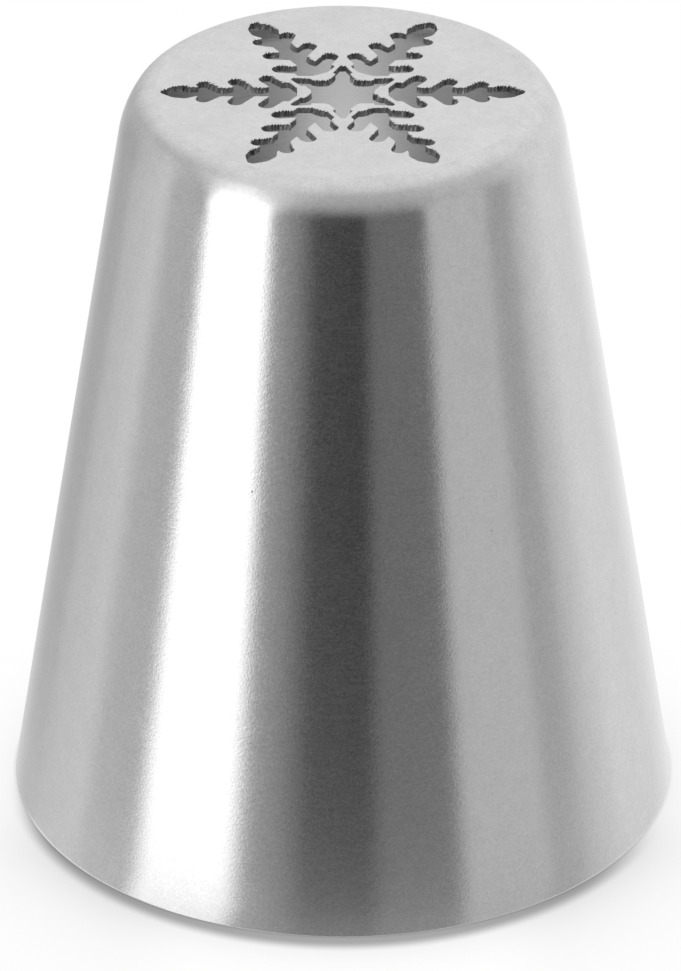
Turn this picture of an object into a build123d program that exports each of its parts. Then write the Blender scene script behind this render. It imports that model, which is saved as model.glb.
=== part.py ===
from build123d import *
from math import atan, atan2, cos, radians, sin, tan
import os

# Conical piping nozzle whose flat face is cut through with a snowflake.
# Lengths are in millimetres and angles in degrees.
# The nozzle stands on its open base: Z is its axis and the base rim lies on Z = 0.

# Shell
base_diameter = 34.0
height = 39.0
# Where the straight wall, drawn on past the shoulder, meets the plane of the face
top_diameter = 21.7
sheet = 0.3

# Rounded shoulder: a short slope between the face and the wall, with a tight round
# at its top and an easy one at its foot
shoulder_inset = 0.65
shoulder_drop = 1.5
crown_radius = 1.1
foot_radius = 4.5

# Lip turned in round the face, and the metal left between it and the arm tips
lip_flat = 0.2
rim_web = 0.29

# Ornament widths
spine_width = 1.04
lobe_diameters = (0.88, 0.84, 0.78)
leaf_round = 0.45
leaf_tip_round = 0.16
star_nose_round = 0.45

# Ornament places, as shares of its radius, for the arm that lies along +X
# Each lobe: how far along the arm and out to the side its round end is centred
lobe_place_shares = ((0.415, 0.157), (0.586, 0.121), (0.763, 0.089))
lobe_slants = (54.0, 55.0, 45.0)
root_outline_shares = ((0.251, 0.050), (0.293, 0.118), (0.345, 0.118))
spine_end_share = 0.86
leaf_outline_shares = ((0.800, 0.052), (0.862, 0.084), (0.935, 0.070), (1.0, 0.017))
# The middle star, for the point that lies along +X before it is turned: its neck,
# its barb, its blunt tip, and how far out the metal nose between two points begins
star_neck_shares = (0.219, 0.039)
star_barb_shares = (0.233, 0.055)
star_tip_shares = (0.326, 0.013)
star_nose_share = 0.165

arm_count = 6
arm_step = 360 / arm_count
# How far a cutting shape runs past the metal it cuts
overrun = 1.0

# Shoulder corners in the plane of the profile, as distance from the axis and height
base_radius = base_diameter / 2
top_radius = top_diameter / 2
wall_angle = atan((base_radius - top_radius) / height)
face_corner = (top_radius - shoulder_inset, height)
wall_corner = (top_radius + shoulder_drop * tan(wall_angle), height - shoulder_drop)
slope_run = wall_corner[0] - face_corner[0]
slope_length = (slope_run**2 + shoulder_drop**2) ** 0.5
slope_angle = atan2(slope_run, shoulder_drop)

# Each round takes no more than its half of the slope between the two corners
face_turn = radians(90) - slope_angle
wall_turn = slope_angle - wall_angle
crown = min(crown_radius, slope_length / 2 / tan(face_turn / 2))
foot = min(foot_radius, slope_length / 2 / tan(wall_turn / 2))

# The face is flat up to the foot of the crown round
flat_radius = face_corner[0] - crown * tan(face_turn / 2)
disc_radius = flat_radius - lip_flat
ornament_radius = disc_radius - rim_web


def moved_in(corner, turn, lean):
    """The profile corner set in from the outer skin by the sheet thickness."""
    reach = sheet / cos(turn / 2)
    return (corner[0] - reach * cos(lean), corner[1] - reach * sin(lean))


def nozzle_body():
    """Conical wall, rounded shoulder and turned-in lip, spun from one profile."""
    # The inward direction at a corner halves the directions square to its two sides
    # The bend at the foot of the shoulder is slight, so its inner side stays a plain corner
    inner_face_corner = moved_in(face_corner, face_turn, radians(90) - face_turn / 2)
    inner_wall_corner = moved_in(wall_corner, wall_turn, wall_angle + wall_turn / 2)
    outer_skin = FilletPolyline(
        (disc_radius, height), face_corner, wall_corner, (base_radius, 0),
        radius=[crown, foot],
    )
    inner_skin = FilletPolyline(
        (disc_radius, height - sheet),
        inner_face_corner,
        inner_wall_corner,
        (base_radius - sheet / cos(wall_angle), 0),
        radius=[max(crown - sheet, 0), 0],
    )
    lip_edge = Line(outer_skin @ 0, inner_skin @ 0)
    base_rim = Line(outer_skin @ 1, inner_skin @ 1)
    profile = make_face([outer_skin, inner_skin, lip_edge, base_rim])
    return revolve(Plane.XZ * profile, Axis.Z)


def places(outline_shares):
    """Points of an outline given as shares of the ornament's radius."""
    return [(along * ornament_radius, out * ornament_radius) for along, out in outline_shares]


def mirrored_outline(upper, rounds):
    """Closed shape from the corners of its upper half, the same below the X axis."""
    lower = [(x, -y) for x, y in reversed(upper)]
    radii = [*rounds, *reversed(rounds)]
    return make_face(FilletPolyline(*upper, *lower, radius=radii, close=True))


def lobe(place_shares, diameter, slant, side):
    """One slanting side lobe with a round end, from the arm's middle outwards."""
    along, out = (share * ornament_radius for share in place_shares)
    run = out / tan(radians(slant))
    length = out / sin(radians(slant))
    slot = SlotCenterToCenter(length, diameter, rotation=side * slant)
    return Pos(along - run / 2, side * out / 2) * slot


def arm():
    """One arm of the snowflake along +X: root, spine, three pairs of lobes, leaf."""
    root_upper = places(root_outline_shares)
    root = mirrored_outline(root_upper, [0, 0, 0])
    spine_start = root_upper[1][0]
    spine_length = spine_end_share * ornament_radius - spine_start
    shape = root + Pos(spine_start + spine_length / 2, 0) * Rectangle(spine_length, spine_width)
    for place_shares, diameter, slant in zip(lobe_place_shares, lobe_diameters, lobe_slants):
        for side in (1, -1):
            shape += lobe(place_shares, diameter, slant, side)
    leaf_rounds = [0, leaf_round, leaf_round, leaf_tip_round]
    return shape + mirrored_outline(places(leaf_outline_shares), leaf_rounds)


def middle_star():
    """Six arrow-headed points round the middle, each between two arms."""
    nose_radius = star_nose_share * ornament_radius
    neck, barb, tip = places((star_neck_shares, star_barb_shares, star_tip_shares))
    nose_angle = radians(arm_step / 2)
    nose = (nose_radius * cos(nose_angle), nose_radius * sin(nose_angle))
    corners = []
    radii = []
    for index in range(arm_count):
        turn = Rot(0, 0, index * arm_step)
        point = [(x, -y) for x, y in (neck, barb, tip)] + [tip, barb, neck, nose]
        corners += [(turn * Pos(x, y)).position for x, y in point]
        radii += [*(0 for _ in point[:-1]), star_nose_round]
    star = make_face(FilletPolyline(*corners, radius=radii, close=True))
    return Rot(0, 0, arm_step / 2) * star


def face_disc():
    """Flat disc of the same sheet with the snowflake cut right through it."""
    disc = extrude(Circle(disc_radius), amount=sheet)
    one_arm = arm()
    cuts = [Rot(0, 0, index * arm_step) * one_arm for index in range(arm_count)]
    for cut in [*cuts, middle_star()]:
        disc -= Pos(0, 0, -overrun) * extrude(cut, amount=sheet + 2 * overrun)
    return Pos(0, 0, height - sheet) * disc


os.makedirs("parts", exist_ok=True)
export_step(nozzle_body(), "parts/nozzle_body.step")
export_step(face_disc(), "parts/face_disc.step")
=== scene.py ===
"""Finished look of a conical piping nozzle with a snowflake outlet.

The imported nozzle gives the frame. Its two pieces, the spun shell and the cut disc, are
built again as fine surfaces from their real sizes, dressed in steel and set in a pale
studio. Sizes are in millimetres until a mesh is written, which is in metres.
"""
import logging
import math
from dataclasses import dataclass
from enum import Enum
from typing import Any, Iterable, Mapping, Sequence, Union

import bpy
import numpy as np
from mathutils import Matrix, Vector
from mathutils.geometry import delaunay_2d_cdt


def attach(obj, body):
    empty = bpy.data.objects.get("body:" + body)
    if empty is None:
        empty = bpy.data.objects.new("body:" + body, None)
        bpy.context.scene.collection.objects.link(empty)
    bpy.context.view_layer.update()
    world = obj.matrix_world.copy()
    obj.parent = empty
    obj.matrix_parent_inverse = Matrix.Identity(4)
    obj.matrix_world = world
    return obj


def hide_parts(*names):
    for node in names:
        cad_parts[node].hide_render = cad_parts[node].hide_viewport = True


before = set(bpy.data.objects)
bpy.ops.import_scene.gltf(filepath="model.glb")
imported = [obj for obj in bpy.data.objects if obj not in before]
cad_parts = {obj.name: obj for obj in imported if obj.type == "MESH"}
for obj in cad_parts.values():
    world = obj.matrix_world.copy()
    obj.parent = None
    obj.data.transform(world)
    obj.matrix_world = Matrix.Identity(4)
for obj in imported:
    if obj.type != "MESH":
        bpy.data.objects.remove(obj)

MM = 0.001
BODY = "root"
FULL_TURN = 2 * math.pi
# Millimetres, but for the brightness of the sky
SAME_PLACE = 1e-6
WELD = 1e-7
RIM = 17.0
SKY = 0.97
log = logging.getLogger("piping_nozzle")

Number = Union[float, "Term"]
Pair = tuple[float, float]
Triple = tuple[float, float, float]
Array = np.ndarray


class Skin(Enum):
    """Which finish a stretch of the metal carries, as its place in the slot list."""

    OUTSIDE = 0
    HIDDEN = 1


# Shader building


class Term:
    """A number socket that takes part in plain arithmetic and adds its Math nodes."""

    def __init__(self, surface: "Surface", socket: bpy.types.NodeSocket) -> None:
        """Wrap a socket of a surface's node tree."""
        self.surface = surface
        self.socket = socket

    def math(self, operation: str, *values: Number) -> "Term":
        """Return the result of a Math node on this number.

        Args:
            operation: the Math node's operation.
            values: the numbers after this one, plain or wrapped.

        Returns:
            The wrapped result.
        """
        inputs = {index: value for index, value in enumerate((self, *values))}
        return self.surface.term("ShaderNodeMath", {"operation": operation}, inputs)

    def __add__(self, other: Number) -> "Term":
        """Sum."""
        return self.math("ADD", other)

    __radd__ = __add__

    def __mul__(self, other: Number) -> "Term":
        """Product."""
        return self.math("MULTIPLY", other)

    __rmul__ = __mul__

    def __sub__(self, other: Number) -> "Term":
        """Difference."""
        return self.math("SUBTRACT", other)

    def __rsub__(self, other: Number) -> "Term":
        """Difference taken from a plain number."""
        return self.math("MULTIPLY", -1.0).math("ADD", other)

    def __truediv__(self, other: Number) -> "Term":
        """Quotient."""
        return self.math("DIVIDE", other)

    def __pow__(self, other: Number) -> "Term":
        """Power."""
        return self.math("POWER", other)

    def __neg__(self) -> "Term":
        """Opposite."""
        return self.math("MULTIPLY", -1.0)

    def __abs__(self) -> "Term":
        """Number without its sign."""
        return self.math("ABSOLUTE")

    def at_least(self, low: float) -> "Term":
        """Return this number, or the limit where it is lower."""
        return self.math("MAXIMUM", low)

    def at_most(self, high: float) -> "Term":
        """Return this number, or the limit where it is higher."""
        return self.math("MINIMUM", high)

    def faded(self, length: float) -> "Term":
        """Return 1 where this number is 0, and about a third for each length past it."""
        return (self / -length).math("EXPONENT")

    def swing(self, amount: float) -> "Term":
        """Return noise between 0 and 1 as up to half the amount below or above 0."""
        return (self - 0.5) * amount

    def ramped(self, low: float, high: float) -> "Term":
        """Return 0 below one limit and 1 above the other, eased between them.

        Args:
            low: where the result leaves 0. It may be above high, for a fall.
            high: where the result reaches 1.

        Returns:
            The wrapped result.
        """
        inputs = {"Value": self, "From Min": low, "From Max": high}
        settings = {"interpolation_type": "SMOOTHSTEP"}
        return self.surface.term("ShaderNodeMapRange", settings, inputs)


@dataclass(frozen=True)
class Grain:
    """Fractal noise, and by how much it varies a metal.

    It has so many cells in a metre along each axis, and so many finer layers of a
    strength. The tone is its share in the shade, rough in the roughness, and relief in
    the height.
    """

    cells: Triple
    layers: float
    gain: float
    tone: float = 0.0
    rough: float = 0.0
    relief: float = 0.0


class Surface:
    """The node tree of a material or of the world."""

    def __init__(self, owner: bpy.types.ID) -> None:
        """Empty the owner's node tree and keep it.

        Args:
            owner: the material or the world.
        """
        owner.use_nodes = True
        self.owner = owner
        self.tree = owner.node_tree
        self.tree.nodes.clear()

    def node(
        self, kind: str, settings: Mapping[str, Any], inputs: Mapping[Any, Any]
    ) -> bpy.types.Node:
        """Add one node.

        Args:
            kind: the node's type.
            settings: its own settings, or "stops" for a ramp, set before its inputs.
            inputs: values or links by socket name or place.

        Returns:
            The node.
        """
        made = self.tree.nodes.new(kind)
        for name, value in settings.items():
            if name == "stops":
                self.set_stops(made.color_ramp, value)
            else:
                setattr(made, name, value)
        for key, value in inputs.items():
            socket = made.inputs[key]
            if isinstance(value, Term):
                self.tree.links.new(value.socket, socket)
            elif isinstance(value, bpy.types.NodeSocket):
                self.tree.links.new(value, socket)
            else:
                socket.default_value = value
        return made

    def term(
        self, kind: str, settings: Mapping[str, Any], inputs: Mapping[Any, Any], out: Any = 0
    ) -> Term:
        """Add one node and return one of its outputs as a number."""
        return Term(self, self.node(kind, settings, inputs).outputs[out])

    def shader(self, kind: str, inputs: Mapping[Any, Any]) -> bpy.types.NodeSocket:
        """Add one shader node, named without its prefix, and return its output."""
        return self.node(f"ShaderNode{kind}", {}, inputs).outputs[0]

    @staticmethod
    def set_stops(ramp: bpy.types.ColorRamp, stops: Sequence[Pair]) -> None:
        """Give a colour ramp its stops.

        Args:
            ramp: the colour ramp.
            stops: for each stop, its place from 0 to 1 and how bright its grey is.
        """
        while len(ramp.elements) < len(stops):
            ramp.elements.new(1.0)
        for element, (place, grey) in zip(ramp.elements, stops):
            element.position = place
            element.color = (grey, grey, grey, 1.0)

    def object_place(self, scale: Triple = (1.0, 1.0, 1.0)) -> Any:
        """Return the Object coordinates, stretched, as a vector socket."""
        place = self.node("ShaderNodeTexCoord", {}, {}).outputs["Object"]
        return self.node("ShaderNodeMapping", {}, {"Vector": place, "Scale": scale}).outputs[0]

    def axes(self) -> tuple[Term, Term, Term]:
        """Return the Object coordinates as three numbers, in metres."""
        split = self.node("ShaderNodeSeparateXYZ", {}, {0: self.object_place()})
        return tuple(Term(self, output) for output in split.outputs)

    def noise(self, grain: Grain) -> Term:
        """Add fractal noise on the Object coordinates.

        Args:
            grain: its cells and its layers.

        Returns:
            The noise, from 0 to 1.
        """
        inputs = {"Vector": self.object_place(grain.cells), "Scale": 1.0}
        inputs.update({"Detail": grain.layers, "Roughness": grain.gain})
        return self.term("ShaderNodeTexNoise", {}, inputs)

    def seen(self) -> Term:
        """Tell what the camera sees, directly or in polished metal or glass.

        Returns:
            1 for what is seen so, and 0 for what only lights other things.
        """
        path = self.node("ShaderNodeLightPath", {}, {})
        rays = ("Is Camera Ray", "Is Glossy Ray", "Is Transmission Ray")
        camera, glossy, through = (Term(self, path.outputs[ray]) for ray in rays)
        return (camera + glossy + through).at_most(1.0)

    def steel(
        self, inputs: Mapping[str, Any], relief: Term, depth: float, strength: float = 1.0
    ) -> bpy.types.Material:
        """Finish the material as metal with a relief.

        Args:
            inputs: what varies or differs from plain metal, by socket name.
            relief: the height of the relief.
            depth: the length that a height of 1 stands for, in metres.
            strength: how strongly the relief shows.

        Returns:
            The material.
        """
        bump = {"Height": relief, "Distance": depth, "Strength": strength}
        normal = self.shader("Bump", bump)
        metal = {"Metallic": 1.0, **inputs, "Normal": normal}
        return self.finish(self.shader("BsdfPrincipled", metal))

    def blend(self, share: Term, first: Any, second: Any) -> Any:
        """Finish with two shaders: the first at a share of 0, the second at 1."""
        return self.finish(self.shader("MixShader", {0: share, 1: first, 2: second}))

    def finish(self, shader: bpy.types.NodeSocket) -> Any:
        """Send a shader to the output.

        Args:
            shader: the output of the last shader node.

        Returns:
            The material or the world.
        """
        kind = "World" if isinstance(self.owner, bpy.types.World) else "Material"
        self.node(f"ShaderNodeOutput{kind}", {}, {"Surface": shader})
        return self.owner


# Finishes


@dataclass(frozen=True)
class SatinWall:
    """Spun wall: fine pits and brush marks, matt on the shoulder, satin below it."""

    name: str = "satin_wall"
    grey: float = 0.62
    matt_grey: float = 0.68
    face_grey: float = 0.71
    satin_roughness: float = 0.15
    matt_roughness: float = 0.47
    haze: float = 0.04
    haze_pits: float = 0.6
    haze_edge: Pair = (0.3, 0.7)
    satin_to: float = 37.25
    matt_from: float = 38.6
    matt_step: float = 0.3
    step_across: Pair = (-2.0, -6.0)
    face_heights: Pair = (38.6, 39.0)
    calm_heights: Pair = (36.2, 37.4)
    calm: float = 0.9
    wander: Grain = Grain((260, 260, 260), 3, 0.6)
    wander_height: float = 0.6
    lines: Grain = Grain((900, 900, 15000), 2, 0.6, tone=0.05, relief=0.4)
    pits: Grain = Grain((9000, 9000, 10500), 2, 0.8, tone=0.44, rough=0.20, relief=1.6)
    grain: Grain = Grain((4300, 4300, 5000), 1, 0.6, tone=0.12)
    cloud: Grain = Grain((900, 900, 700), 3, 0.55, tone=0.12, rough=0.05)
    matt_cloud_tone: float = 0.15
    patches: Grain = Grain((190, 190, 150), 2, 0.6)
    patch_edge: Pair = (0.42, 0.62)
    stroke_cells: Triple = (6500, 1300, 700)
    stroke_slope: float = 0.7
    stroke_tone: float = 0.10
    stroke_relief: float = 0.9
    nick_cells: Triple = (170, 170, 170)
    nick_edge: Pair = (0.020, 0.008)
    nick_tone: float = 0.12
    nick_relief: float = 2.5
    relief_depth: float = 2.6e-6
    brushed: float = 0.55
    brushed_turn: float = 0.25

    def strokes(self, s: Surface, x: Term, y: Term, height: Term) -> Term:
        """Return slanted brush marks in patches, as numbers on both sides of 0.

        They are noise with long cells that slope upwards round the wall, times a noise
        of large patches.

        Args:
            s: the wall's node tree.
            x: the Object coordinate to the right, in metres.
            y: the one to the back.
            height: the one upwards.

        Returns:
            The marks.
        """
        across = (x + y) * self.stroke_slope
        narrow, long, deep = self.stroke_cells
        lean = {0: (across - height) * narrow, 1: (across + height) * long, 2: (x - y) * deep}
        slant = s.node("ShaderNodeCombineXYZ", {}, lean).outputs[0]
        marks = s.term("ShaderNodeTexNoise", {}, {"Vector": slant, "Scale": 1.0, "Detail": 1.0})
        return (marks - 0.5) * s.noise(self.patches).ramped(*self.patch_edge)

    def build(self) -> bpy.types.Material:
        """Build the wall's material.

        Pits and grain are fine, nearly even noise, lines are noise that is long round the
        axis and very short along it, and nicks are the middles of sparse cells. Matt takes
        over between two heights, at a wandering limit that lies higher on the left. At
        the shoulder's foot and above it the relief is calm.

        Returns:
            The material.
        """
        s = Surface(bpy.data.materials.new(self.name))
        x, y, height = s.axes()
        wander = s.noise(self.wander) - 0.5
        higher = (x / MM).ramped(*self.step_across) * self.matt_step
        level = height / MM - higher + wander * self.wander_height
        matt = level.ramped(self.satin_to, self.matt_from)
        lines, pits, cloud = (s.noise(grain) for grain in (self.lines, self.pits, self.cloud))
        strokes = self.strokes(s, x, y, height)
        cells = {"Vector": s.object_place(self.nick_cells), "Scale": 1.0}
        nick = s.term("ShaderNodeTexVoronoi", {"feature": "F1"}, cells).ramped(*self.nick_edge)
        shade = 1 + pits.swing(self.pits.tone) + s.noise(self.grain).swing(self.grain.tone)
        shade = shade + cloud.swing(self.cloud.tone) + lines.swing(self.lines.tone)
        shade = shade + strokes * self.stroke_tone - nick * self.nick_tone
        shade = shade + matt * (cloud - 0.5) * self.matt_cloud_tone
        haze = pits * self.haze_pits + lines * (1 - self.haze_pits)
        haze = haze.ramped(*self.haze_edge) * self.haze
        rest = 1 - (height / MM).ramped(*self.calm_heights) * self.calm
        grey = matt * (self.matt_grey - self.grey) + self.grey
        to_face = (height / MM).ramped(*self.face_heights)
        grey = grey + to_face * (self.face_grey - self.matt_grey)
        rough = matt * (self.matt_roughness - self.satin_roughness) + self.satin_roughness
        rough = rough + (pits.swing(self.pits.rough) + cloud.swing(self.cloud.rough)) * rest
        relief = pits * self.pits.relief + lines * self.lines.relief
        relief = (relief + strokes * self.stroke_relief + nick * self.nick_relief) * rest
        inputs = {
            "Base Color": shade * grey,
            "Metallic": 1 - haze,
            "Roughness": rough,
            "Anisotropic": self.brushed,
            "Anisotropic Rotation": self.brushed_turn,
        }
        return s.steel(inputs, relief, self.relief_depth)


@dataclass(frozen=True)
class BlastedFace:
    """Flat face: fine even matt with a faint mottle."""

    name: str = "blasted_face"
    grey: float = 0.715
    roughness: float = 0.46
    cloud: Grain = Grain((420, 420, 420), 4, 0.6, tone=0.20)
    mottle: Grain = Grain((2200, 2200, 2200), 3, 0.6, tone=0.18, rough=0.06)
    pits: Grain = Grain((12500, 12500, 12500), 1, 0.6, tone=0.26)
    relief_depth: float = 2.0e-6

    def build(self) -> bpy.types.Material:
        """Build the face's material: two sizes of cloudy noise over a fine grain.

        Returns:
            The material.
        """
        s = Surface(bpy.data.materials.new(self.name))
        cloud, mottle, pits = (s.noise(grain) for grain in (self.cloud, self.mottle, self.pits))
        shade = 1 + cloud.swing(self.cloud.tone) + mottle.swing(self.mottle.tone)
        shade = shade + pits.swing(self.pits.tone)
        rough = mottle.swing(self.mottle.rough) + self.roughness
        inputs = {"Base Color": shade * self.grey, "Roughness": rough}
        return s.steel(inputs, pits + mottle, self.relief_depth)


@dataclass(frozen=True)
class CutEdge:
    """Walls of the cut-outs: dark, with strokes that run down the sheet's thickness."""

    name: str = "cut_edge"
    grey: float = 0.37
    roughness: float = 0.5
    strokes: Grain = Grain((11000, 11000, 2200), 2, 0.65)
    stroke_edge: Pair = (0.38, 0.72)
    between: float = 0.68
    on_stroke: float = 0.6
    relief_depth: float = 3.0e-5
    relief_strength: float = 0.6

    def build(self) -> bpy.types.Material:
        """Build the edge's material: noise with short cells along the cut, long ones down it.

        Returns:
            The material.
        """
        s = Surface(bpy.data.materials.new(self.name))
        strokes = s.noise(self.strokes)
        shade = self.between + strokes.ramped(*self.stroke_edge) * self.on_stroke
        inputs = {"Base Color": shade * self.grey, "Roughness": self.roughness}
        return s.steel(inputs, strokes, self.relief_depth, self.relief_strength)


@dataclass(frozen=True)
class InnerWall:
    """Inside of the shell: the same sheet, duller, with faint lines from spinning."""

    name: str = "inner_wall"
    grey: float = 0.62
    roughness: float = 0.28
    lines: Grain = Grain((90, 90, 3000), 3, 0.6, tone=0.12, rough=0.08)
    cloud: Grain = Grain((300, 300, 200), 3, 0.5, tone=0.06)
    painted_light_heights: Pair = (37.6, 38.3)
    painted_top_light: float = 0.5
    relief_depth: float = 3.0e-6

    def build(self) -> bpy.types.Material:
        """Build the inside's material: coarse lines round the axis, with painted light at the top.

        Returns:
            The material.
        """
        s = Surface(bpy.data.materials.new(self.name))
        lines, cloud = s.noise(self.lines), s.noise(self.cloud)
        _, _, height = s.axes()
        shade = 1 + lines.swing(self.lines.tone) + cloud.swing(self.cloud.tone)
        # Painted light: near the top the colour is made up to half again as light.
        shade = shade * ((height / MM).ramped(*self.painted_light_heights) * self.painted_top_light + 1)
        rough = lines.swing(self.lines.rough) + self.roughness
        inputs = {"Base Color": shade * self.grey, "Roughness": rough}
        return s.steel(inputs, lines, self.relief_depth)


# Shapes


def flat_cross(a: Array, b: Array) -> Array:
    """Return the cross products of two rows of flat vectors."""
    return a[:, 0] * b[:, 1] - a[:, 1] * b[:, 0]


def signed_area(ring: Array) -> float:
    """Return a closed outline's area, positive where it runs anticlockwise from above."""
    return float(flat_cross(ring, np.roll(ring, -1, axis=0)).sum() / 2)


def soft_corners(corners: Array, radii: Array, steps: int) -> Array:
    """Round the corners of a closed path with tangent arcs.

    Each arc starts at the corner less its reach along the side that comes in, where the
    reach is the radius times the tangent of half the turn, and its start is turned about
    its centre by equal shares of the whole turn.

    Args:
        corners: the corners, one row each.
        radii: one radius for each corner, or 0.
        steps: how many points each arc gets.

    Returns:
        The rounded path, one row for each point.
    """
    into = corners - np.roll(corners, 1, axis=0)
    away = np.roll(corners, -1, axis=0) - corners
    into /= np.linalg.norm(into, axis=1, keepdims=True)
    away /= np.linalg.norm(away, axis=1, keepdims=True)
    turn = np.arctan2(flat_cross(into, away), (into * away).sum(axis=1))
    reach = radii * np.tan(np.abs(turn) / 2)
    start = corners - into * reach[:, None]
    left = np.stack([-into[:, 1], into[:, 0]], axis=1)
    centre = start + left * (np.sign(turn) * radii)[:, None]
    angle = turn[:, None] * np.linspace(0, 1, steps)[None, :]
    arm = (start - centre)[:, None, :]
    cosine, sine = np.cos(angle), np.sin(angle)
    x = arm[..., 0] * cosine - arm[..., 1] * sine
    y = arm[..., 0] * sine + arm[..., 1] * cosine
    return (centre[:, None, :] + np.stack([x, y], axis=2)).reshape(-1, 2)


def lengths_round(path: Array) -> Array:
    """Return each point's distance from the first along a closed path, and its length."""
    step = np.roll(path, -1, axis=0) - path
    return np.concatenate([[0.0], np.cumsum(np.linalg.norm(step, axis=1))])


def turned(points: Array, angle: float) -> Array:
    """Return flat points turned about the origin by an angle in radians."""
    cosine, sine = math.cos(angle), math.sin(angle)
    return points @ np.array([[cosine, sine], [-sine, cosine]])


def spun(radii: Array, heights: Array, columns: int) -> Array:
    """Carry points round the axis.

    A point at distance r and height z stands at (r cos a, r sin a, z) for each of the
    evenly spaced angles a.

    Args:
        radii: the points' distances from the axis.
        heights: their heights.
        columns: how many angles there are.

    Returns:
        The points, rows by columns by 3.
    """
    angle = np.arange(columns) * FULL_TURN / columns
    points = np.empty((len(radii), columns, 3))
    points[..., 0] = radii[:, None] * np.cos(angle)
    points[..., 1] = radii[:, None] * np.sin(angle)
    points[..., 2] = heights[:, None]
    return points


def joined(number: Array) -> Array:
    """Join neighbouring rows of vertices with quads, closed sideways.

    Args:
        number: the vertices' numbers, rows by columns.

    Returns:
        The quads, as vertex numbers.
    """
    right = np.roll(number, -1, axis=1)
    quads = np.stack([number[:-1], right[:-1], right[1:], number[1:]], axis=2)
    return quads.reshape(-1, 4)


def write_mesh(
    name: str,
    points: Array,
    polygons: Sequence[Array],
    skins: Sequence[Array],
    crease: float,
) -> bpy.types.Object:
    """Make an object from arrays, with its faces turned outwards.

    The sum of each face's own signed volume, from the origin, is positive when the faces
    point outwards, and every face is turned round where it isn't.

    Args:
        name: the object's name.
        points: vertices in millimetres.
        polygons: arrays of quads or triangles, as vertex numbers.
        skins: for each array, the finish of each of its faces.
        crease: the angle in degrees past which an edge stays sharp.

    Returns:
        The object, linked to the scene.
    """
    volume = 0.0
    for faces in polygons:
        first, *others = (points[corner] for corner in faces.T)
        for a, b in zip(others, others[1:]):
            volume += (first * np.cross(a, b)).sum()
    if volume < 0:
        polygons = [faces[:, ::-1] for faces in polygons]
    mesh = bpy.data.meshes.new(name)
    mesh.from_pydata(points * MM, [], [face for faces in polygons for face in faces.tolist()])
    mesh.polygons.foreach_set("material_index", np.concatenate(skins).astype(np.int32))
    mesh.validate()
    mesh.shade_smooth()
    mesh.set_sharp_from_angle(angle=math.radians(crease))
    made = bpy.data.objects.new(name, mesh)
    bpy.context.collection.objects.link(made)
    return made


@dataclass(frozen=True)
class Shoulder:
    """Outline sizes that the shell and the disc share, in millimetres."""

    base_diameter: float = 2 * RIM
    height: float = 39.0
    top_diameter: float = 21.7
    sheet: float = 0.3
    inset: float = 0.65
    drop: float = 1.5
    crown_radius: float = 1.1
    foot_radius: float = 4.5
    lip_flat: float = 0.2

    @property
    def wall_angle(self) -> float:
        """Lean of the wall from upright, in radians."""
        return math.atan((self.base_diameter - self.top_diameter) / 2 / self.height)

    @property
    def face_corner(self) -> Pair:
        """Corner between the face and the slope of the shoulder."""
        return (self.top_diameter / 2 - self.inset, self.height)

    @property
    def wall_corner(self) -> Pair:
        """Corner between the slope of the shoulder and the wall."""
        out = self.top_diameter / 2 + self.drop * math.tan(self.wall_angle)
        return (out, self.height - self.drop)

    @property
    def slope_angle(self) -> float:
        """Lean of the shoulder's slope from upright, in radians."""
        return math.atan2(self.wall_corner[0] - self.face_corner[0], self.drop)

    @property
    def face_turn(self) -> float:
        """Turn from the face to the slope, in radians."""
        return math.pi / 2 - self.slope_angle

    @property
    def wall_turn(self) -> float:
        """Turn from the slope to the wall, in radians."""
        return self.slope_angle - self.wall_angle

    @property
    def disc_radius(self) -> float:
        """Radius of the disc, which ends on the flat just inside the crown round."""
        flat = self.face_corner[0] - self.crown_radius * math.tan(self.face_turn / 2)
        return flat - self.lip_flat

    def moved_in(self, corner: Pair, turn: float, lean: float) -> Array:
        """Return a profile corner set in by the sheet along the direction of its lean."""
        reach = self.sheet / math.cos(turn / 2)
        return np.array(corner) - reach * np.array([math.cos(lean), math.sin(lean)])


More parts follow.
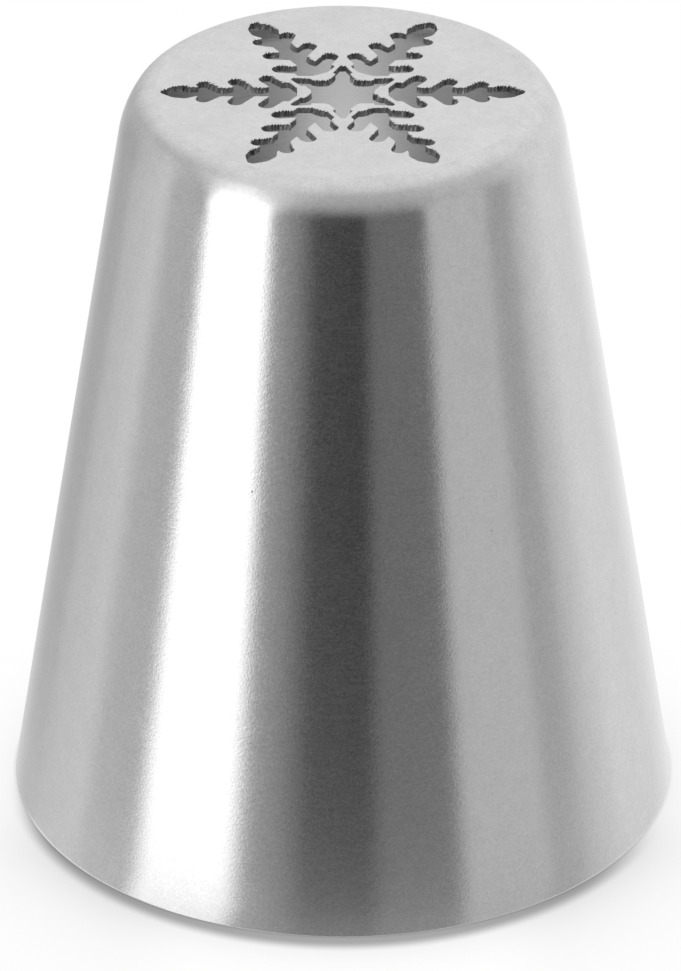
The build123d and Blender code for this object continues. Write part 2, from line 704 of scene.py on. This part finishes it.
@dataclass
class Shell:
    """The spun body: wall, rounded shoulder and turned-in lip."""

    shoulder: Shoulder
    rim_round: float = 0.07
    columns: int = 480
    row_gap: float = 1.2
    arc_steps: int = 9
    crease: float = 40

    def profile(self) -> tuple[Array, Array]:
        """Work out the closed profile.

        The outer corners are the face, slope and wall corners of the shoulder. The inner
        ones are the same corners set in by the sheet. The rim's two edges are rounded.

        Returns:
            The points, each its distance from the axis and its height, and whether each
            is on the inside.
        """
        s = self.shoulder
        lean = s.wall_angle
        base = s.base_diameter / 2
        inner_face = s.moved_in(s.face_corner, s.face_turn, math.pi / 2 - s.face_turn / 2)
        inner_wall = s.moved_in(s.wall_corner, s.wall_turn, lean + s.wall_turn / 2)
        outer = [(s.disc_radius, s.height), s.face_corner, s.wall_corner, (base, 0.0)]
        outer_radii = [0.0, s.crown_radius, s.foot_radius, self.rim_round]
        inner = [
            (base - s.sheet / math.cos(lean), 0.0),
            inner_wall,
            inner_face,
            (s.disc_radius, s.height - s.sheet),
        ]
        inner_radii = [self.rim_round, s.foot_radius - s.sheet, s.crown_radius - s.sheet, 0.0]
        radii = np.array(outer_radii + inner_radii)
        path = soft_corners(np.array(outer + inner), radii, self.arc_steps)
        inside = np.repeat(np.arange(len(radii)) >= len(outer), self.arc_steps)
        fresh = np.abs(np.diff(path, axis=0)).sum(axis=1) > SAME_PLACE
        fresh = np.concatenate([[True], fresh])
        path, inside = path[fresh], inside[fresh]
        step = np.roll(path, -1, axis=0) - path
        parts = np.ceil(np.linalg.norm(step, axis=1) / self.row_gap).astype(int)
        which = np.repeat(np.arange(len(path)), parts)
        share = (np.arange(parts.sum()) - np.repeat(np.cumsum(parts) - parts, parts)) / parts[which]
        return path[which] + step[which] * share[:, None], inside[which]

    def build(self) -> bpy.types.Object:
        """Build the shell: the profile spun round the axis, with quads between neighbours.

        Returns:
            The dressed object.
        """
        profile, hidden = self.profile()
        points = spun(profile[:, 0], profile[:, 1], self.columns)
        number = np.arange(points[..., 0].size).reshape(len(profile), self.columns)
        quads = joined(np.vstack([number, number[:1]]))
        skin = np.where(hidden, Skin.HIDDEN.value, Skin.OUTSIDE.value)
        skins = np.repeat(skin, self.columns)
        made = write_mesh("nozzle_shell", points.reshape(-1, 3), [quads], [skins], self.crease)
        made.data.materials.append(SatinWall().build())
        made.data.materials.append(InnerWall().build())
        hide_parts("nozzle_body")
        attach(made, BODY)
        return made


def crossed_places(ring: Array, reach: int) -> Array:
    """Return which segments of a closed flat outline cross another one of it.

    Two segments cross where the ends of each lie on both sides of the other, which
    the signs of four cross products say.

    Args:
        ring: the outline's points.
        reach: how many segments further on are tried.

    Returns:
        True for each segment that crosses another.
    """
    step = np.roll(ring, -1, axis=0) - ring
    crossed = np.zeros(len(ring), bool)
    for ahead in range(2, reach):
        gap = np.roll(ring, -ahead, axis=0) - ring
        way = np.roll(step, -ahead, axis=0)
        mine = flat_cross(step, gap) * flat_cross(step, gap + way)
        other = flat_cross(way, gap) * flat_cross(way, gap - step)
        hit = (mine <= 0) & (other <= 0)
        crossed |= hit | np.roll(hit, ahead)
    return crossed


@dataclass(frozen=True)
class Teeth:
    """The torn edge of a cut: burrs that lean into the opening, in millimetres.

    Each of the rows down the wall has how far down it is as a share of the sheet, how
    much of a tooth's depth it keeps, and how far the whole wall stands in there.
    """

    pitch: float = 0.15
    depth: float = 0.16
    back: float = 0.16
    back_fade: float = 0.6
    lead: float = 0.07
    lean: float = 0.25
    uneven: float = 0.4
    least_gap: float = 0.4
    bluntness: float = 0.65
    side_gain: float = 1.5
    smooth_side: float = 0.12
    rows: tuple[Triple, ...] = (
        (0.0, 0.0, 0.0), (0.07, 0.9, 0.0), (0.2, 1.0, 0.0),
        (0.45, 0.85, 0.02), (0.7, 0.7, 0.05), (1.0, 0.6, 0.08),
    )

    def along(self, count: int, length: float, rng: np.random.Generator) -> Array:
        """Return teeth round a closed loop, from 0 between them to about 1 at a tip.

        There are two knots for each tooth, at uneven gaps: the even ones low, the odd
        ones high, each by its own random amount, with straight lines between them. A
        power then rounds the low places and narrows the tips.

        Args:
            count: how many points the loop has.
            length: how long it is.
            rng: the source of the teeth.

        Returns:
            One number for each point.
        """
        knots = 2 * int(length / self.pitch)
        value = rng.random(knots) * self.uneven + np.arange(knots) % 2 * (1 - self.uneven)
        gap = rng.random(knots) + self.least_gap
        place = (np.cumsum(gap) - gap[0]) * count / gap.sum()
        teeth = np.interp(np.arange(count), place, value, period=count)
        return 1 - (1 - teeth) ** self.bluntness

    def ways(self, points: Array, free: Array) -> Array:
        """Work out in which direction each point of an outline may move, out of it.

        It is the outline's outward normal, leant to one side, and shorter the less free
        the point is and the nearer to the front its wall stands.

        Args:
            points: the outline.
            free: how far each point may move, from 0 to 1.

        Returns:
            One direction for each point.
        """
        tangent = np.roll(points, -1, axis=0) - np.roll(points, 1, axis=0)
        tangent /= np.linalg.norm(tangent, axis=1, keepdims=True)
        normal = np.stack([tangent[:, 1], -tangent[:, 0]], axis=1)
        normal *= np.sign(signed_area(points))
        side = np.clip(normal[:, 1] * self.side_gain, self.smooth_side, 1.0)
        return (side * free)[:, None] * (normal + (self.lean, 0.0))

    def into_opening(self, teeth: Array) -> list[Array]:
        """Work out how far each point moves into the opening, for each row of the wall.

        A tooth moves in by what its row keeps of the depth. Between the teeth the metal
        is torn back, less the further down. The lead moves all of it in a little.

        Args:
            teeth: for each point, from 0 between the teeth to about 1 at a tip.

        Returns:
            One array of distances for each row.
        """
        return [
            teeth * self.depth * keep
            - (1 - teeth) * self.back * (1 - down * self.back_fade)
            + self.lead + draft
            for down, keep, draft in self.rows
        ]


@dataclass
class CutDisc:
    """The flat disc with the snowflake cut through it."""

    shoulder: Shoulder
    teeth: Teeth = Teeth()
    rim_web: float = 0.29
    spine_width: float = 1.04
    lobe_diameters: tuple[float, ...] = (0.88, 0.84, 0.78)
    lobe_slants: tuple[float, ...] = (54.0, 55.0, 45.0)
    lobe_place_shares: tuple[Pair, ...] = ((0.415, 0.157), (0.586, 0.121), (0.763, 0.089))
    root_shares: tuple[Pair, ...] = ((0.251, 0.050), (0.293, 0.118))
    leaf_shares: tuple[Pair, ...] = (
        (0.810, 0.0573), (0.862, 0.084), (0.935, 0.070), (1.0, 0.017),
    )
    star_shares: tuple[Pair, ...] = ((0.219, 0.039), (0.233, 0.055), (0.326, 0.013))
    star_nose_share: float = 0.165
    leaf_round: float = 0.45
    leaf_tip_round: float = 0.16
    star_nose_round: float = 0.45
    corner_round: float = 0.07
    root_round_gain: float = 1.6
    star_tip_round_gain: float = 1.4
    notch_round: float = 0.03
    arc_steps: int = 13
    arms: int = 6
    point_gap: float = 0.033
    calm_length: float = 0.28
    calm_webs: Pair = (0.1, 0.5)
    calm_rounds: int = 30
    calm_reach: int = 90
    calm_spread: int = 9
    calm_share: float = 0.5
    rim_points: int = 720
    crease: float = 35
    seed: int = 7

    @property
    def radius(self) -> float:
        """Radius of the ornament, out to the arm tips."""
        return self.shoulder.disc_radius - self.rim_web

    def arm_corners(self) -> tuple[Array, Array]:
        """Work out one arm along +X.

        Each lobe is a slot with a round end. Its two straight sides are lines at the
        lobe's slant, half its width from the line through the centre of its round end,
        and they are cut off where they meet the spine, or for the first lobe the root.

        Returns:
            The corners and their rounds.
        """
        half_spine = self.spine_width / 2
        root = np.array(self.root_shares) * self.radius
        corners = [*root]
        radii = [self.corner_round * self.root_round_gain] * len(root)
        foot = root[-1][1]
        for share, width, slant in zip(
            self.lobe_place_shares, self.lobe_diameters, self.lobe_slants
        ):
            lean = math.radians(slant)
            way = np.array([math.cos(lean), math.sin(lean)])
            side = np.array([-way[1], way[0]]) * width / 2
            end = np.array(share) * self.radius
            front = end + side
            back = end - side
            start = front + way * (foot - front[1]) / way[1]
            stop = back + way * (half_spine - back[1]) / way[1]
            tip = way * width / 2
            corners += [start, front + tip, back + tip, stop]
            radii += [self.corner_round, width / 2, width / 2, self.notch_round]
            foot = half_spine
        leaf = np.array(self.leaf_shares) * self.radius
        corners += [*leaf]
        radii += [self.corner_round, self.leaf_round, self.leaf_round, self.leaf_tip_round]
        upper = np.array(corners)
        lower = upper[::-1] * (1, -1)
        return np.vstack([upper, lower]), np.array([*radii, *radii[::-1]])

    def star_corners(self) -> tuple[Array, Array]:
        """Work out the middle star, with a point along +X.

        Returns:
            The corners and their rounds.
        """
        step = FULL_TURN / self.arms
        upper = np.array(self.star_shares) * self.radius
        nose = turned(np.array([[self.star_nose_share * self.radius, 0.0]]), step / 2)
        point = np.vstack([upper * (1, -1), upper[::-1], nose])
        tip_round = self.corner_round * self.star_tip_round_gain
        rounds = [self.notch_round, self.corner_round, tip_round]
        radii = [*rounds, *rounds[::-1], self.star_nose_round]
        corners = np.vstack([turned(point, index * step) for index in range(self.arms)])
        return corners, np.array(radii * self.arms)

    def loop(self, corners: Array, radii: Array) -> tuple[Array, Array]:
        """Return a closed outline with evenly spaced points, and how free each one is.

        A point is free, 1, where it lies further than the calm length from every notch,
        and less free the nearer it lies, down to 0.

        Args:
            corners: the outline's corners.
            radii: their rounds.

        Returns:
            The points, and their freedom from 0 to 1.
        """
        path = soft_corners(corners, radii, self.arc_steps)
        along = lengths_round(path)
        count = int(round(along[-1] / self.point_gap))
        place = np.arange(count) * along[-1] / count
        ring = np.vstack([path, path[:1]])
        points = np.stack([np.interp(place, along, ring[:, k]) for k in (0, 1)], axis=1)
        by_corner = along[:-1].reshape(len(corners), -1)
        notches = by_corner[radii <= self.notch_round].mean(axis=1)
        gap = np.abs(place[:, None] - notches[None, :])
        gap = np.minimum(gap, along[-1] - gap).min(axis=1)
        return points, np.clip(gap / self.calm_length, 0, 1)

    def outlines(self) -> list[tuple[Array, Array]]:
        """Lay out every cut-out: the arms, then the star.

        Where the metal strip to another cut-out is narrow, the points are less free.

        Returns:
            Each outline's points, and how free each point is, from 0 to 1.
        """
        step = FULL_TURN / self.arms
        arm, arm_free = self.loop(*self.arm_corners())
        star, star_free = self.loop(*self.star_corners())
        rings = [turned(arm, index * step) for index in range(self.arms)]
        rings.append(turned(star, step / 2))
        low, high = self.calm_webs
        every = []
        for index, ring in enumerate(rings):
            others = np.vstack(rings[:index] + rings[index + 1:])
            web = np.linalg.norm(ring[:, None] - others[None], axis=2).min(axis=1)
            free = arm_free if index < self.arms else star_free
            every.append((ring, free * np.clip((web - low) / (high - low), 0, 1)))
        return every

    def cut_rows(self, points: Array, free: Array, rng: np.random.Generator) -> list[Array]:
        """Return the rows of one cut wall from its top edge down.

        Each row is the outline moved into the opening as the teeth say. Where a moved
        row crosses itself, the points round the crossing move by a smaller share, again
        and again, until no row does.

        Args:
            points: the outline.
            free: how far each point may move, from 0 to 1.
            rng: the source of the teeth.

        Returns:
            One array of points for each row.
        """
        along = self.teeth.along(len(points), lengths_round(points)[-1], rng)
        into = self.teeth.into_opening(along)
        way = self.teeth.ways(points, free)
        for _ in range(self.calm_rounds):
            rows = [points - way * depth[:, None] for depth in into]
            crossed = np.any([crossed_places(row, self.calm_reach) for row in rows], axis=0)
            if not crossed.any():
                break
            near = np.zeros(len(points))
            for shift in range(-self.calm_spread, self.calm_spread + 1):
                weight = 1 - abs(shift) / (self.calm_spread + 1)
                near = np.maximum(near, np.roll(crossed, shift) * weight)
            way = way * (1 - near * self.calm_share)[:, None]
        s = self.shoulder
        levels = [s.height - down * s.sheet for down, _, _ in self.teeth.rows]
        return [np.insert(row, 2, level, axis=1) for row, level in zip(rows, levels)]

    @staticmethod
    def cap(loops: Sequence[Array]) -> Array:
        """Fill the first loop with triangles and leave the others open.

        All the loops' edges are kept by a constrained Delaunay triangulation, and a
        triangle stays where a line from its centre crosses the loops an odd number of
        times.

        Args:
            loops: the loops' points.

        Returns:
            The triangles, as places in the row of all the loops' points.
        """
        sizes = [len(loop) for loop in loops]
        flat = np.vstack([loop[:, :2] for loop in loops])
        first = np.concatenate([[0], np.cumsum(sizes)[:-1]])
        number = [start + np.arange(size) for start, size in zip(first, sizes)]
        edges = np.vstack([np.stack([n, np.roll(n, -1)], axis=1) for n in number])
        result = delaunay_2d_cdt([Vector(p) for p in flat], edges.tolist(), [], 0, WELD)
        origin = np.array([ids[0] if ids else -1 for ids in result[3]])
        triangles = origin[np.array(result[2])]
        if (triangles < 0).any():
            log.warning("the cut-outs' outlines cross, and some triangles were left out")
            triangles = triangles[(triangles >= 0).all(axis=1)]
        middle = flat[triangles].mean(axis=1)
        a, b = flat[edges[:, 0]], flat[edges[:, 1]]
        x, y = middle[:, :1], middle[:, 1:]
        spans = (a[:, 1] > y) != (b[:, 1] > y)
        rise = np.where(a[:, 1] == b[:, 1], 1.0, b[:, 1] - a[:, 1])
        crossing = a[:, 0] + (y - a[:, 1]) * (b[:, 0] - a[:, 0]) / rise
        inside = ((crossing > x) & spans).sum(axis=1) % 2 == 1
        return triangles[inside]

    def build(self) -> bpy.types.Object:
        """Build the disc: a cap above, a cap below, and walls between their loops.

        A wall joins each row of points to the next one down by quads. The first strip
        under the edge of a cut still has the face's finish.

        Returns:
            The dressed object.
        """
        rng = np.random.default_rng(self.seed)
        height, sheet = self.shoulder.height, self.shoulder.sheet
        rim = np.full(2, self.shoulder.disc_radius)
        walls = [list(spun(rim, np.array([height, height - sheet]), self.rim_points))]
        walls += [self.cut_rows(points, free, rng) for points, free in self.outlines()]
        points, polygons, skins, tops, bottoms = [], [], [], [], []
        count = 0
        for index, rows in enumerate(walls):
            size = len(rows[0])
            number = count + np.arange(len(rows) * size).reshape(len(rows), size)
            quads = joined(number)[:, (0, 3, 2, 1)]
            outward = (signed_area(rows[0]) < 0) == (index > 0)
            polygons.append(quads if outward else quads[:, ::-1])
            torn = np.arange(len(quads)) >= size * (index > 0)
            skins.append(np.where(torn, Skin.HIDDEN.value, Skin.OUTSIDE.value))
            tops.append(number[0])
            bottoms.append(number[-1])
            points += rows
            count += number.size
        every = np.vstack(points)
        for numbers, up in ((tops, True), (bottoms, False)):
            cap = self.cap([every[n] for n in numbers])
            cap = np.concatenate(numbers)[cap]
            a, b, c = (every[cap[:, k], :2] for k in (0, 1, 2))
            rise = flat_cross(b - a, c - a) > 0
            cap[rise != up] = cap[rise != up][:, ::-1]
            polygons.append(cap)
            skins.append(np.full(len(cap), Skin.OUTSIDE.value))
        made = write_mesh("snowflake_disc", every, polygons, skins, self.crease)
        made.data.materials.append(BlastedFace().build())
        made.data.materials.append(CutEdge().build())
        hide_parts("face_disc")
        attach(made, BODY)
        return made


# Studio


def staged(name: str, points: Array, faces: list) -> tuple[bpy.types.Object, Surface]:
    """Make a stage object, which isn't part of the nozzle.

    Args:
        name: the name of the object and of its material.
        points: its points in millimetres.
        faces: its faces, as point numbers.

    Returns:
        The object, and its material's nodes.
    """
    mesh = bpy.data.meshes.new(name)
    mesh.from_pydata(points.reshape(-1, 3) * MM, [], faces)
    made = bpy.data.objects.new(name, mesh)
    bpy.context.collection.objects.link(made)
    material = bpy.data.materials.new(name)
    mesh.materials.append(material)
    return made, Surface(material)


def ringed(name: str, points: Array) -> Surface:
    """Make a stage object of rings of points that only polished metal shows.

    Args:
        name: the object's name.
        points: rings by columns by 3, in millimetres. A single ring is filled.

    Returns:
        Its material's nodes.
    """
    rings, columns, _ = points.shape
    number = np.arange(rings * columns).reshape(rings, columns)
    made, s = staged(name, points, joined(number).tolist() if rings > 1 else number.tolist())
    made.visible_camera = False
    made.visible_diffuse = False
    made.visible_shadow = False
    made.visible_transmission = False
    made.active_material.cycles.emission_sampling = "NONE"
    return s


@dataclass(frozen=True)
class Camera:
    """The photograph's camera: lengths in millimetres, its elevation in degrees."""

    elevation: float = 29.0
    distance: float = 439.85
    aim: Triple = (-0.115, 0.0, 16.56)
    focal_pixels: float = 8609.0
    image_height: int = 971
    sensor: float = 36.0

    def build(self) -> None:
        """Place the camera on the line from the aim point at its elevation."""
        data = bpy.data.cameras.new("camera")
        data.lens = self.focal_pixels / self.image_height * self.sensor
        data.sensor_width = self.sensor
        lean = math.radians(self.elevation)
        back = Vector((0.0, -math.cos(lean), math.sin(lean)))
        made = bpy.data.objects.new("camera", data)
        made.location = (Vector(self.aim) + back * self.distance) * MM
        made.rotation_euler = (-back).to_track_quat("-Z", "Y").to_euler()
        bpy.context.collection.objects.link(made)
        bpy.context.scene.camera = made


@dataclass(frozen=True)
class Sky:
    """White for the camera, and an even pale sky for the light."""

    name: str = "studio"

    def build(self) -> None:
        """Give the scene its world."""
        world = bpy.data.worlds.new(self.name)
        bpy.context.scene.world = world
        s = Surface(world)
        white = s.shader("Background", {"Color": (1, 1, 1, 1), "Strength": 1.0})
        sky = s.shader("Background", {"Color": (1, 1, 1, 1), "Strength": SKY})
        s.blend(s.seen(), sky, white)


@dataclass(frozen=True)
class Floor:
    """Pale floor: white to the eye, with a painted shadow only where the nozzle is close."""

    half: float = 3000.0
    shift: float = 0.92
    edge: float = 0.5
    front_lean: float = 0.15
    front_from: Pair = (-3.0, -11.0)
    front_grey: float = 0.45
    tail: float = 1.3
    tail_dark: float = 0.07
    corner_across: Pair = (7.0, 12.0)
    corner_from: Pair = (-4.0, -10.0)
    corner_tail: float = 4.0
    corner_dark: float = 0.12
    near_reach: float = 7.0
    near_open: Pair = (0.35, 0.95)
    near_from: Pair = (0.0, -8.0)
    near_dark: float = 0.04
    near_front_dark: float = 0.09
    touch_reach: float = 0.3
    touch_open: Pair = (0.45, 0.95)
    touch_dark: float = 0.2
    plain_grey: float = 0.8

    def shade(self, s: Surface) -> Term:
        """Work out how bright the floor is to the eye.

        In front, a painted shadow fills the part of the rim's circle, moved forward, that
        the nozzle doesn't cover, shaped as a broad light from behind would cast it. A
        faint painted tail fades out past it, and a longer one at the front's two corners.
        All round, two painted ambient shades stand for what the nozzle's nearness takes
        from the sky, the wider one stronger in front.

        Args:
            s: the floor's nodes.

        Returns:
            The brightness.
        """
        x, y, _ = s.axes()
        moved = y + self.shift * MM
        past = ((x * x + moved * moved) ** 0.5) / MM - RIM
        away = past.at_least(0.0)
        front = ((y + x * self.front_lean) / MM).ramped(*self.front_from)
        lit = 1 - front * past.ramped(self.edge, -self.edge)
        corner = (abs(x) / MM).ramped(*self.corner_across) * (y / MM).ramped(*self.corner_from)
        corner = corner * away.faded(self.corner_tail)
        near, touch = (
            s.term(
                "ShaderNodeAmbientOcclusion", {"samples": samples}, {"Distance": reach * MM}, "AO"
            )
            for samples, reach in ((12, self.near_reach), (8, self.touch_reach))
        )
        shade = lit * (1 - self.front_grey) + self.front_grey
        shade = shade * (1 - away.faded(self.tail) * self.tail_dark)
        shade = shade * (1 - corner * self.corner_dark)
        dark = (y / MM).ramped(*self.near_from) * self.near_front_dark + self.near_dark
        shade = shade * (1 - (1 - near.ramped(*self.near_open)) * dark)
        return shade * (touch.ramped(*self.touch_open) * self.touch_dark + (1 - self.touch_dark))

    def build(self) -> None:
        """Lay the floor: its painted shade for the eye, and plain pale matt for the light."""
        half = self.half
        corners = np.array([(-half, -half, 0), (half, -half, 0), (half, half, 0), (-half, half, 0)])
        made, s = staged("floor", corners, [(0, 1, 2, 3)])
        made.visible_glossy = False
        # The floor's colour for the eye is an emission that carries the painted shadow.
        bright = s.shader("Emission", {"Color": self.shade(s), "Strength": 1.0})
        grey = self.plain_grey
        plain = s.shader("BsdfDiffuse", {"Color": (grey, grey, grey, 1)})
        s.blend(s.seen(), plain, bright)


@dataclass(frozen=True)
class Card:
    """A stretch of the ring of cards: where it ends, in degrees, and how bright it is.

    Degrees run from 0 in front of the nozzle to 180 behind it, upwards on its right and
    downwards on its left. Each card runs from its start brightness to its end one.
    """

    start: float
    end: float
    bright: float
    bright_end: float


@dataclass(frozen=True)
class CardRing:
    """Light cards all round, far away, that the polished wall reflects."""

    radius: float = 2400.0
    columns: int = 96
    rings: int = 48
    top: Pair = (0.26, 0.56)
    white_from: Pair = (0.28, 0.31)
    white_to: Pair = (0.42, 0.39)
    white_rise: float = 0.13
    wall_grey: float = 0.52
    wall_top: Pair = (0.55, 0.90)
    wall_side: Pair = (-0.35, 0.45)
    wall_lean: float = 1.2
    left_side: Pair = (0.4, 0.95)
    left_dim: float = 0.3
    slant: float = 0.14
    slant_top: float = -0.2
    slant_middle: float = -0.245
    cards: tuple[Card, ...] = (
        Card(-180, -165, 0.92, 0.66),
        Card(-160, -149, 0.63, 0.55),
        Card(-145, -130, 0.52, 0.56),
        Card(-124, -99.5, 0.69, 0.85),
        Card(-93.5, -73.5, 0.64, 0.56),
        Card(-68.9, -38.9, 1.95, 1.95),
        Card(-34.5, -23, 0.50, 0.31),
        Card(-12.5, 10, 0.085, 0.058),
        Card(13, 39, 0.195, 0.205),
        Card(43, 73, 0.67, 0.66),
        Card(75.5, 87, 0.49, 0.50),
        Card(93, 112, 0.68, 0.96),
        Card(118, 138, 0.97, 0.92),
        Card(146, 165, 0.96, 1.03),
        Card(172, 180, 1.01, 0.92),
    )

    def build(self) -> None:
        """Put up the cards: a dome that only polished metal shows.

        A point of the dome stands at the radius in the direction given by its azimuth and
        elevation. Low down the brightness is a ramp over the azimuth, one stretch for
        each card, and higher up it fades to a grey wall in front and the sky behind. The
        white card reaches a little higher, and on the left the cards' feet lean aside.
        """
        rise = np.linspace(-math.pi / 2, math.pi / 2, self.rings)
        points = spun(np.cos(rise), np.sin(rise), self.columns)
        s = ringed("cards", points * self.radius)
        x, y, z = s.axes()
        stops = [
            (angle / 360 + 0.5, bright)
            for card in self.cards
            for angle, bright in ((card.start, card.bright), (card.end, card.bright_end))
        ]
        rise = z / (self.radius * MM)
        aside = (x / (-self.radius * MM)).at_least(0.0)
        turn = x.math("ARCTAN2", -y) / FULL_TURN + 0.5
        low = rise.at_most(self.slant_top) - self.slant_middle
        turn = turn - low * aside * self.slant
        ramp = s.node("ShaderNodeValToRGB", {"stops": stops}, {0: turn})
        left = x.at_most(0.0) * self.wall_lean
        front = ((y + left) / (-self.radius * MM)).ramped(*self.wall_side)
        wall = front * (1 - rise.ramped(*self.wall_top)) * (self.wall_grey - SKY) + SKY
        wall = wall * (1 - aside.ramped(*self.left_side) * self.left_dim)
        tall = turn.ramped(*self.white_from) * turn.ramped(*self.white_to) * self.white_rise
        inputs = {0: (rise - tall).ramped(*self.top), 6: ramp.outputs[0], 7: wall}
        colour = s.node("ShaderNodeMix", {"data_type": "RGBA"}, inputs).outputs[2]
        s.finish(s.shader("Emission", {"Color": colour, "Strength": 1.0}))


@dataclass(frozen=True)
class Pool:
    """Pale disc inside the nozzle, which stands for the floor that its inside reflects."""

    radius: float = 16.4
    level: float = 0.05
    columns: int = 96
    bright: float = 1.5
    dim: float = 0.09
    before: float = 0.5
    behind: float = 0.35
    lean: float = 0.12
    falls: Pair = (12.0, -8.0)

    def build(self) -> None:
        """Lay the disc, bright towards the front and the back, and dim at the sides.

        The place along the fall is the distance to the side, with a slight lean, less a
        part of the distance to the front or to the back.
        """
        points = spun(np.array([self.radius]), np.array([self.level]), self.columns)
        s = ringed("inside_floor", points)
        x, y, _ = s.axes()
        place = y.at_most(0.0) * self.before - y.at_least(0.0) * self.behind
        place = (place + abs(x) + x * self.lean) / MM
        bright = place.ramped(*self.falls) * (self.bright - self.dim) + self.dim
        s.finish(s.shader("Emission", {"Color": bright, "Strength": 1.0}))


@dataclass(frozen=True)
class Glow:
    """Ring on the floor round the nozzle, seen only in the foot of the wall."""

    rings: tuple[float, ...] = (RIM, 17.6, 19.0, 22.0, 28.0, 40.0, 70.0, 112.0)
    level: float = 0.02
    columns: int = 180
    grey: float = 0.61
    side_lean: float = 0.15
    side_from: Pair = (0.5, 0.9)
    side_lighter: float = 0.30
    near: float = 0.33
    near_fall: float = 10.0
    wide: float = 0.10
    wide_reach: float = 95.0
    glint: float = 1.15
    glint_reach: Pair = (0.16, 0.096)
    glint_across: Pair = (6.0, 11.5)
    glint_right: Pair = (4.0, 10.0)
    glint_right_less: float = 0.4
    glint_ends: Pair = (15.5, 17.0)
    glint_ends_less: float = 0.8

    def build(self) -> None:
        """Lay the ring.

        It is lighter at the sides, and covers what is behind it by a share that falls off
        outwards. Right at the rim it covers all of it, between the front and the two
        ends, and draws the rim's fine light line.
        """
        rings = np.array(self.rings)
        s = ringed("glow", spun(rings, np.full(len(rings), self.level), self.columns))
        x, y, _ = s.axes()
        out = (x * x + y * y) ** 0.5
        past = out / MM - RIM
        side = ((abs(x) - x * self.side_lean) / out).ramped(*self.side_from)
        grey = side * self.side_lighter + self.grey
        beside = (abs(x) / MM).ramped(*self.glint_across)
        beside = beside * (1 - (x / MM).ramped(*self.glint_right) * self.glint_right_less)
        beside = beside * (1 - (abs(x) / MM).ramped(*self.glint_ends) * self.glint_ends_less)
        glint = past.ramped(*self.glint_reach) * beside
        wide = (1 - past / self.wide_reach).at_least(0.0) * self.wide
        share = past.faded(self.near_fall) * self.near + wide
        bright = glint * (self.glint - grey) + grey
        light = s.shader("Emission", {"Color": bright})
        s.blend(share.math("MAXIMUM", glint), s.shader("BsdfTransparent", {}), light)


def main() -> None:
    """Build the studio, the shell and the disc, and report each."""
    logging.basicConfig(level=logging.INFO, format="%(message)s")
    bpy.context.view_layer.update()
    for part in (Camera(), Sky(), Floor(), CardRing(), Pool(), Glow()):
        part.build()
        log.info("studio: %s", type(part).__name__)
    bpy.context.scene.view_settings.view_transform = "Standard"
    shoulder = Shoulder()
    for piece in (Shell(shoulder), CutDisc(shoulder)):
        made = piece.build()
        log.info("%s: %d faces", made.name, len(made.data.polygons))


if __name__ == "__main__":
    main()
